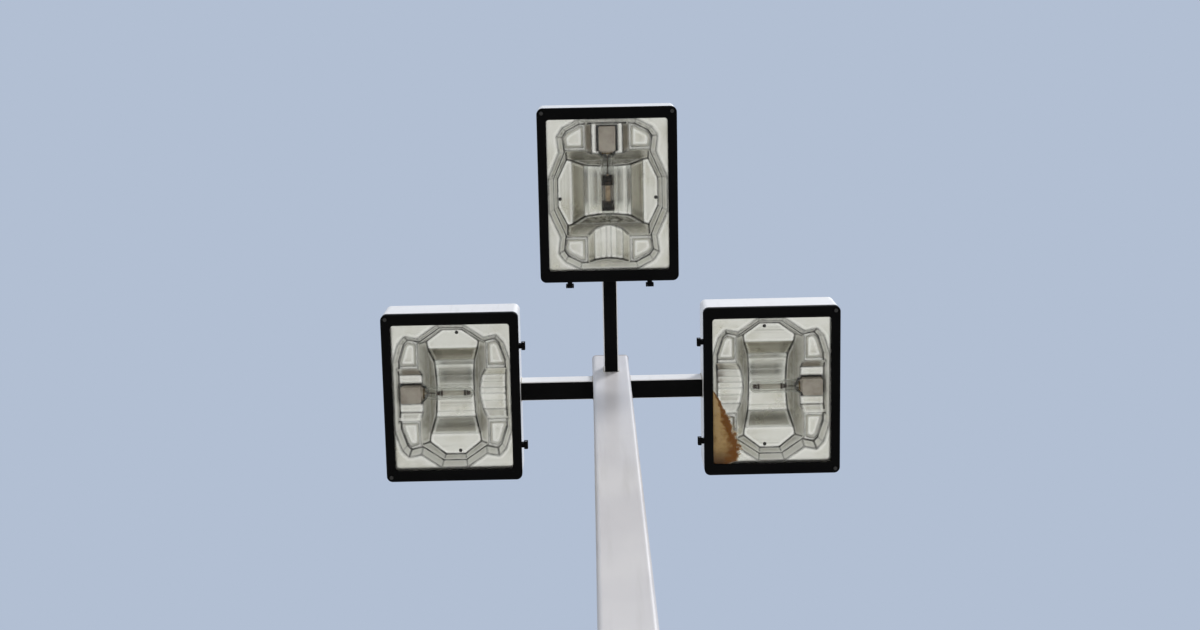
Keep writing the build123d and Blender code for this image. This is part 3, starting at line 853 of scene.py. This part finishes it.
FINISHES = {finish.name: finish for finish in (
    WeatheredPaint("arm_paint", linear(238, 238, 240), linear(230, 230, 231), linear(170, 166, 160),
                   linear(150, 140, 128), 0.34, coat=0.3),
    WeatheredPaint("pole_paint", linear(200, 198, 202), linear(206, 204, 206), linear(158, 154, 150),
                   linear(150, 140, 128), 0.34, coat=0.25, grime_share=0.55),
    WeatheredPaint("housing_paint", linear(244, 244, 247), linear(237, 237, 239), linear(176, 172, 164),
                   linear(168, 160, 150), 0.34, coat=0.3, streak_share=0.18, weather_scale=5.0),
    WeatheredPaint("dark_paint", linear(4, 4, 5), linear(8, 8, 9), linear(18, 17, 16), linear(44, 43, 42),
                   0.55, specular=0.05, streak_share=0.12, dust_share=0.25, wear_share=0.3,
                   weather_scale=8.0),
    SIDE_REFLECTOR,
    # the near head's reflector, with darker painted shade and painted shade on its end walls
    replace(SIDE_REFLECTOR, name="reflector_aluminium_y", rolled=Noise.ROLLED_ALONG_Y,
            shade=linear(66, 62, 52), end_shade_share=0.92),
    PlainBody("socket_ceramic", linear(172, 163, 152), linear(150, 140, 128), 0.5),
    ClearGlass("door_glass", (0.985, 0.992, 0.988), 0.05, ior=1.2),
    ClearGlass("lamp_glass", (0.97, 0.975, 0.97), 0.08, straight=0.88),
    PlainBody("arc_quartz", linear(190, 184, 172), linear(166, 158, 144), 0.22, patch_scale=90.0),
    PlainBody("arc_quartz_aged", linear(202, 178, 148), linear(152, 128, 104), 0.3, patch_scale=90.0),
    PlainBody("arc_coat", linear(58, 40, 28), linear(34, 25, 20), 0.6, patch_scale=140.0),
    SmokedGlass("bulb_soot", linear(24, 16, 12), 0.9),
    SmokedGlass("bulb_haze", linear(104, 80, 58), 0.18),
    PlainBody("lamp_wire", linear(186, 182, 174), linear(150, 144, 134), 0.4, metallic=0.5,
              patch_scale=160.0),
    PlainBody("brass_cap", linear(116, 98, 66), linear(72, 60, 44), 0.45, metallic=1.0, patch_scale=110.0),
    PlainBody("blackened_steel", linear(34, 33, 32), linear(22, 21, 20), 0.5, patch_scale=150.0),
    PlainBody("sealant", linear(196, 193, 186), linear(160, 155, 146), 0.7, patch_scale=60.0),
    DriedSilt("silt", SILT_FRONT, linear(112, 66, 14), linear(180, 146, 92), linear(92, 60, 26),
              linear(222, 208, 176)),
    PlainBody("gasket_rubber", linear(34, 33, 32), linear(44, 42, 40), 0.75),
    PlainBody("fastener_steel", linear(176, 178, 180), linear(142, 140, 134), 0.32, metallic=1.0,
              patch_scale=120.0),
)}


class Workshop:
    """Keeps each finish once, and dresses and adds pieces with them."""

    def __init__(self) -> None:
        """Start with no finish made."""
        self.made: dict[str, Material] = {}

    def finish(self, name: str) -> Material:
        """Give a finish, and make it the first time.

        Args:
            name: The finish's name.

        Returns:
            The material.
        """
        if name not in self.made:
            self.made[name] = FINISHES[name].build()
        return self.made[name]

    def dress(self, node: str, finish: str) -> None:
        """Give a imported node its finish.

        Args:
            node: The node's name.
            finish: The finish's name.
        """
        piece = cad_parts[node]
        piece.data.materials.clear()
        piece.data.materials.append(self.finish(finish))
        LOG.info("dressed %s in %s", node, finish)

    def add(self, mesh: PieceMesh, name: str, finish: str, slot: str, body: str = "pole",
            side: Side = Side.RIGHT) -> Piece:
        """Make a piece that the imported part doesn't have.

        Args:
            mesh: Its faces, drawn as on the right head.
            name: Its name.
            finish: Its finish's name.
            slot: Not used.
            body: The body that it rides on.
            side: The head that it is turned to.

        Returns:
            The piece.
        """
        piece = mesh.finish(name, self.finish(finish), side.turn)
        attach(piece, body)
        LOG.info("added %s", name)
        return piece


@dataclass
class LampInside:
    """What shows through a lamp's bulb: arc tube, its coated ends, frame wires and stem."""

    side: Side
    workshop: Workshop
    middle: float
    seat: float
    tip: float
    height: float
    aged: bool
    bulb_radius: float = 0.023
    neck_radius: float = 0.017
    wall: float = 0.0012
    arc_radius: float = 0.0085
    coat_length: float = 0.026
    coat_thickness: float = 0.0006
    soot_middle: float = 0.043
    soot_half: float = 0.017
    wire_radius: float = 0.0011
    wire_offset: float = 0.0150
    lead_radius: float = 0.0016
    lead_sag: float = 0.0012

    @property
    def arc_half(self) -> float:
        """Half the arc tube's length, which stops short of the bulb's end."""
        return min(0.062, self.middle - self.tip - 0.007)

    def build(self) -> None:
        """Make the bulb and what is in it."""
        self.make_bulb()
        self.make_arc_tube()
        self.make_coats()
        self.make_frame()
        self.make_stem()
        self.make_sleeve()
        if self.aged:
            self.make_deposit()

    def make_bulb(self) -> None:
        """Blow the bulb: a thin wall that stands for the solid lamp."""
        root, neck_end, shoulder = self.seat + 0.0255, self.seat - 0.006, self.seat - 0.0175
        centre = self.tip + self.bulb_radius
        arc = [math.radians(a) for a in range(0, 91, 9)]
        neck, inner = self.neck_radius - self.wall, self.bulb_radius - self.wall
        outside = [(root, self.neck_radius), (neck_end, self.neck_radius), (shoulder, self.bulb_radius)]
        outside += [(centre - self.bulb_radius * math.sin(a), self.bulb_radius * math.cos(a)) for a in arc]
        inside = [(centre - inner * math.sin(a), inner * math.cos(a)) for a in reversed(arc)]
        inside += [(shoulder, inner), (neck_end, neck), (root, neck)]
        bulb = PieceMesh()
        bulb.lathe(outside + inside, self.at(0.0), ALONG_X, 40, closed=True)
        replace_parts(self.add(bulb, "bulb", "lamp_glass"), f"{self.side.title}_lamp")

    def make_arc_tube(self) -> None:
        """Make the arc tube with its pinched ends."""
        tube = PieceMesh()
        half, r = self.arc_half, self.arc_radius
        end = [(0.0, 0.0), (0.0, 0.35 * r), (0.012, 0.45 * r), (0.022, 0.95 * r), (0.035, r)]
        profile = [(inward - half, radius) for inward, radius in end]
        profile += [(half - inward, radius) for inward, radius in reversed(end)]
        tube.lathe(profile, self.at(self.middle), ALONG_X, 28)
        self.add(tube, "arc_tube", "arc_quartz_aged" if self.aged else "arc_quartz")

    def make_coats(self) -> None:
        """Make the dark heat-keeping coats over both ends of the arc tube, and its lead to the stem."""
        coats = PieceMesh()
        half, r = self.arc_half, self.arc_radius + self.coat_thickness
        profile = [(0.004, 0.0), (0.004, 0.7 * r), (0.014, 0.86 * r), (0.022, 1.06 * r),
                   (self.coat_length, 1.05 * r), (self.coat_length, 0.8 * r)]
        for way in (-1.0, 1.0):
            coats.lathe(profile, self.at(self.middle + way * half), (-way, 0.0, 0.0), 28)
        start, end = self.middle + half - 0.003, self.seat - 0.014
        middle = (0.5 * (start + end), self.lead_sag, self.height)
        coats.rod([self.at(start), middle, self.at(end)], self.lead_radius)
        self.add(coats, "arc_coats", "arc_coat")

    def make_frame(self) -> None:
        """Bend the wire frame that holds the arc tube inside the bulb."""
        wires = PieceMesh()
        half, z, offset = self.arc_half, self.height, self.wire_offset
        far = self.middle - half
        for v in (-offset, offset):
            wires.rod([(self.seat - 0.004, 0.4 * v, z), (self.seat - 0.018, 0.8 * v, z),
                       (self.seat - 0.028, v, z), (far + 0.012, v, z), (far + 0.003, 0.55 * v, z)],
                      self.wire_radius)
        for x in (self.middle - 0.72 * half, self.middle + 0.72 * half):
            for bow in (-self.arc_radius - 0.0024, self.arc_radius + 0.0024):
                wires.rod([(x, -offset, z), (x, 0.0, z + bow), (x, offset, z)], self.wire_radius)
        self.add(wires, "lamp_frame", "lamp_wire", "fastener_steel")

    def make_stem(self) -> None:
        """Make the flared glass stem."""
        stem = PieceMesh()
        profile = [(0.0, 0.0), (0.0, 0.0145), (0.006, 0.0125), (0.014, 0.0065), (0.030, 0.0050),
                   (0.034, 0.0030), (0.034, 0.0)]
        stem.lathe(profile, self.at(self.seat + 0.016), (-1.0, 0.0, 0.0), 24)
        self.add(stem, "lamp_stem", "arc_quartz")

    def make_sleeve(self) -> None:
        """Make the brass sleeve that the neck sits in."""
        sleeve = PieceMesh()
        length, inner, outer = 0.0055, self.neck_radius + 0.0001, self.neck_radius + 0.0009
        profile = [(0.0, inner), (0.0, outer), (length, outer), (length, inner)]
        sleeve.lathe(profile, self.at(self.seat - 0.0122), ALONG_X, 36, closed=True)
        self.add(sleeve, "lamp_sleeve", "brass_cap", "fastener_steel")

    def make_deposit(self) -> None:
        """Line the bulb with what a long-used arc leaves: two sooty bands and a haze between them."""
        soot, haze = PieceMesh(), PieceMesh()
        outer = self.bulb_radius - self.wall - 0.0003
        rings = [(-1.0, 0.0012), (-0.8, 0.0), (0.8, 0.0), (1.0, 0.0012)]
        bands = [(soot, -self.soot_middle, self.soot_half), (soot, self.soot_middle, self.soot_half),
                 (haze, 0.0, self.soot_middle - self.soot_half - 0.0005)]
        for mesh, middle, half in bands:
            profile = [(share * half, outer - drop) for share, drop in rings]
            mesh.lathe(profile, self.at(self.middle + middle), ALONG_X, 36)
        self.add(soot, "bulb_soot", "bulb_soot")
        self.add(haze, "bulb_haze", "bulb_haze")

    def at(self, x: float) -> Point:
        """A point on the lamp's axis."""
        return x, 0.0, self.height

    def add(self, mesh: PieceMesh, name: str, finish: str, slot: str = "lamp_glass") -> Piece:
        """Add a piece under the head's name."""
        return self.workshop.add(mesh, f"{self.side.title}_{name}", finish, slot, side=self.side)


@dataclass
class Head:
    """One shoebox head: the finishes of its nodes, its lamp and its small fixings.

    The edges of a side panel are given as shares of the half opening's width and the reflector's depth.
    """

    side: Side
    workshop: Workshop
    gap: float
    length: float
    width: float
    rim_end: float
    rim_side: float
    arm_width: float
    socket_length: float
    lamp_length: float
    screw_share: float
    rim_height: float = 7.2925
    reflector_depth: float = 0.146
    panel_outer: tuple[float, float] = (0.97, 0.45)
    panel_inner: tuple[float, float] = (0.60, 0.60)
    screw_radius: float = 0.0062
    lamp_height: float = 7.3485
    socket_share: float = 0.89
    arm_low: float = 7.345
    arm_height: float = 0.082
    half_pole: float = 0.0635
    bead_corner: float = 0.006
    bead: Profile = ((0.0, 0.0030), (0.0012, 0.0027), (0.0024, 0.0016), (0.0032, 0.0002),
                     (0.0032, -0.0006), (0.0, -0.0006))
    finishes: dict[str, str] = field(default_factory=lambda: {
        "arm": "arm_paint", "arm_cover": "dark_paint", "housing": "housing_paint",
        "hinge_brackets": "dark_paint", "hinge_pins": "fastener_steel",
        "lamp_socket": "socket_ceramic", "door_frame": "dark_paint", "door_glass": "door_glass",
        "door_gasket": "gasket_rubber", "door_screws": "blackened_steel",
    })

    @property
    def middle(self) -> float:
        """The head's middle, measured from the pole's axis."""
        return self.gap + self.length / 2

    @property
    def half_opening(self) -> tuple[float, float]:
        """Half the door's opening, along the arm and across it."""
        return self.length / 2 - self.rim_end, self.width / 2 - self.rim_side

    def build(self) -> None:
        """Finish the head's nodes and add its pieces."""
        near = self.side is Side.NEAR
        rolled = "reflector_aluminium_y" if near else "reflector_aluminium_x"
        for piece, finish in {**self.finishes, "reflector": rolled}.items():
            self.workshop.dress(f"{self.side.title}_{piece}", finish)
        seat = self.middle + self.socket_share * self.half_opening[0] - self.socket_length
        LampInside(self.side, self.workshop, middle=self.middle, seat=seat, tip=seat - self.lamp_length,
                   height=self.lamp_height, aged=near).build()
        self.make_panel_screws()
        self.make_arm_beads()

    def make_panel_screws(self) -> None:
        """Screw the reflector to the housing through its two side panels."""
        screws = PieceMesh()
        half_u, half_v = self.half_opening
        (outer, low), (inner, high) = self.panel_outer, self.panel_inner
        rise, run = self.reflector_depth * (high - low), half_v * (outer - inner)
        share = (outer - self.screw_share) / (outer - inner)
        height = self.rim_height + self.reflector_depth * low + share * rise
        for way in (-1.0, 1.0):
            seat = (self.middle - 0.08 * half_u, way * self.screw_share * half_v, height)
            screws.button_head(seat, (0.0, -way * rise / run, -1.0), self.screw_radius)
        self.workshop.add(screws, f"{self.side.title}_panel_screws", "blackened_steel", "fastener_steel",
                          side=self.side)

    def make_arm_beads(self) -> None:
        """Run a bead of sealant round both ends of the arm."""
        beads = PieceMesh()
        for x, out in ((self.half_pole, 1.0), (self.gap, -1.0)):
            beads.skin([self.arm_ring(x + out * step, spread) for step, spread in self.bead], closed=True)
        self.workshop.add(beads, f"{self.side.title}_arm_beads", "sealant", "pole_paint", side=self.side)

    def arm_ring(self, x: float, spread: float) -> list[Vector]:
        """Draw an upright rounded rectangle round the arm.

        Args:
            x: Its way along the arm.
            spread: How far it stands off the arm.

        Returns:
            Its points.
        """
        half_y, half_z = self.arm_width / 2 + spread, self.arm_height / 2 + spread
        middle_z = self.arm_low + self.arm_height / 2
        corner = self.bead_corner + max(spread, 0.0)
        points = []
        for quarter, (sy, sz) in enumerate(((1, 1), (-1, 1), (-1, -1), (1, -1))):
            for k in range(5):
                angle = math.radians(90 * quarter + 22.5 * k)
                points.append(Vector((x, sy * (half_y - corner) + corner * math.cos(angle),
                                      middle_z + sz * (half_z - corner) + corner * math.sin(angle))))
        return points


@dataclass
class GlassSilt:
    """The silt that a puddle left inside the right door, in the glass's corner by the pole."""

    workshop: Workshop
    front: SiltFront = SILT_FRONT
    height: float = 7.2784
    thickness: float = 0.0005
    rows: int = 60
    columns: int = 18
    used_length: float = 0.995
    used_reach: float = 1.28

    def build(self) -> None:
        """Lay the film in rows from the frame out to its front, thin at its edge."""
        film = PieceMesh()
        grid = [[film.mesh.verts.new(self.point(i / self.rows, k / self.columns))
                 for k in range(self.columns + 1)] for i in range(self.rows + 1)]
        for inner, outer in zip(grid, grid[1:]):
            for a, b, c, d in zip(inner, inner[1:], outer[1:], outer):
                film.mesh.faces.new((a, b, c, d))
        self.workshop.add(film, "right_glass_silt", "silt", "door_glass", body="right_door")

    def point(self, row: float, column: float) -> Vector:
        """Find a point of the film.

        Args:
            row: Its share of the way along the frame.
            column: Its share of the way out from the frame.

        Returns:
            The point.
        """
        along, share = self.used_length * self.front.length * row, self.used_reach * column
        rise = self.thickness * (1 - min(share, 1.0) ** 6)
        return Vector((self.front.corner[0] + share * self.front.at(along), self.front.corner[1] - along,
                       self.height + rise))


@dataclass
class Pole:
    """The pole with its foot, hand hole and cap."""

    workshop: Workshop
    nodes: tuple[str, ...] = ("base_plate", "pole_shaft", "pole_cap", "hand_hole_frame", "hand_hole_cover",
                              "base_cover_front", "base_cover_back")
    hand_hole_height: float = 0.460
    cover_screw_offset: float = 0.0655
    cover_face: float = 0.0705
    cover_screw_radius: float = 0.0058
    base_cover_side: float = 0.1505
    base_screw_offset: float = 0.012
    base_screw_height: float = 0.030
    base_screw_radius: float = 0.0048

    def build(self) -> None:
        """Finish the pole's nodes and add its screws."""
        for node in self.nodes:
            self.workshop.dress(node, "pole_paint")
        cover_seats = [((0.0, self.cover_face, self.hand_hole_height + rise), (0.0, 1.0, 0.0))
                       for rise in (-self.cover_screw_offset, self.cover_screw_offset)]
        self.make_screws("hand_hole_screws", cover_seats, self.cover_screw_radius)
        base_seats = [((way * self.base_cover_side, y, self.base_screw_height), (way, 0.0, 0.0))
                      for way in (-1.0, 1.0) for y in (-self.base_screw_offset, self.base_screw_offset)]
        self.make_screws("base_cover_screws", base_seats, self.base_screw_radius)

    def make_screws(self, name: str, seats: Sequence[tuple[Point, Point]], radius: float) -> None:
        """Put screws in the pole's fittings.

        Args:
            name: Their name.
            seats: The middle of each one's seat, and the direction that it stands out to.
            radius: Their heads' radius.
        """
        screws = PieceMesh()
        for seat, axis in seats:
            screws.button_head(seat, axis, radius)
        self.workshop.add(screws, name, "fastener_steel", "fastener_steel")


@dataclass
class Studio:
    """The floor, the light and the camera at the photograph's viewing angle."""

    floor_half: float = 60.0
    floor_colour: Colour = linear(214, 214, 212)
    background: Colour = linear(178, 191, 211)
    world_strength: float = 0.66
    world_shade: float = 0.35
    key_strength: float = 2.4
    key_angle: float = math.radians(14)
    key_towards: Point = (0.38, -0.56, 0.74)
    eye: Point = (-0.0581, -1.3126, 1.6273)
    elevation: float = math.radians(79.595)
    yaw: float = math.radians(1.254)
    roll: float = math.radians(-2.446)
    lens: float = 51.0
    sensor: float = 36.0

    def build(self) -> None:
        """Make the whole studio."""
        self.make_floor()
        self.make_world()
        self.make_key_lamp()
        self.make_camera()
        bpy.context.scene.view_settings.view_transform = "Standard"

    def make_floor(self) -> None:
        """Lay the plain pale floor."""
        mesh = bpy.data.meshes.new("floor")
        h = self.floor_half
        mesh.from_pydata([(-h, -h, 0), (h, -h, 0), (h, h, 0), (-h, h, 0)], [], [(0, 1, 2, 3)])
        floor = bpy.data.objects.new("floor", mesh)
        bpy.context.scene.collection.objects.link(floor)
        sheet = MaterialSheet("floor")
        sheet.shade({"Base Color": self.floor_colour, "Roughness": 0.9})
        mesh.materials.append(sheet.material)

    def make_world(self) -> None:
        """Set the soft light, weaker from -X, and the pale background that the camera sees."""
        world = bpy.data.worlds.new("studio")
        bpy.context.scene.world = world
        world.use_nodes = True
        sheet = NodeSheet(world.node_tree)
        light = sheet.find("BACKGROUND")
        side = sheet.axis(sheet.add("ShaderNodeTexCoord").outputs["Generated"], "X")
        strength = sheet.ramp(side, -0.7, 0.3, self.world_shade * self.world_strength, self.world_strength)
        sheet.fill(light, {"Color": (1.0, 1.0, 1.0), "Strength": strength})
        seen = sheet.add("ShaderNodeBackground", {"Color": self.background, "Strength": 1.0})
        path = sheet.add("ShaderNodeLightPath").outputs
        shown = sheet.highest(path["Is Camera Ray"], path["Is Glossy Ray"], path["Is Transmission Ray"])
        sheet.blend(shown, light, seen)

    def make_key_lamp(self) -> None:
        """Hang the soft key lamp high on the right."""
        lamp = bpy.data.lights.new("key", "SUN")
        lamp.energy = self.key_strength
        lamp.angle = self.key_angle
        holder = bpy.data.objects.new("key", lamp)
        holder.rotation_mode = "QUATERNION"
        holder.rotation_quaternion = Vector(self.key_towards).to_track_quat("Z", "Y")
        bpy.context.scene.collection.objects.link(holder)

    def make_camera(self) -> None:
        """Set the camera low by the pole's foot, looking up steeply at the heads."""
        forward = Vector((math.sin(self.yaw) * math.cos(self.elevation),
                          math.cos(self.yaw) * math.cos(self.elevation), math.sin(self.elevation)))
        right = forward.cross(Vector((0, 0, 1))).normalized()
        up = right.cross(forward)
        level = Matrix((right, up, -forward)).transposed().to_4x4()
        data = bpy.data.cameras.new("camera")
        data.lens = self.lens
        data.sensor_width = self.sensor
        data.clip_start, data.clip_end = 0.05, 500.0
        camera = bpy.data.objects.new("camera", data)
        camera.matrix_world = Matrix.Translation(self.eye) @ level @ Matrix.Rotation(self.roll, 4, "Z")
        bpy.context.scene.collection.objects.link(camera)
        bpy.context.scene.camera = camera


def main() -> None:
    """Dress the part, then set up the studio."""
    logging.basicConfig(level=logging.INFO, format="%(name)s: %(message)s")
    workshop = Workshop()
    near = Head(Side.NEAR, workshop, gap=0.390, length=0.583, width=0.465, rim_end=0.038, rim_side=0.031,
                arm_width=0.050, socket_length=0.082, lamp_length=0.225, screw_share=0.805)
    left = Head(Side.LEFT, workshop, gap=0.313, length=0.465, width=0.583, rim_end=0.031, rim_side=0.038,
                arm_width=0.066, socket_length=0.069, lamp_length=0.180, screw_share=0.825)
    right = replace(left, side=Side.RIGHT)
    for maker in (Pole(workshop), near, left, right, GlassSilt(workshop), Studio()):
        maker.build()


if __name__ == "__main__":
    main()
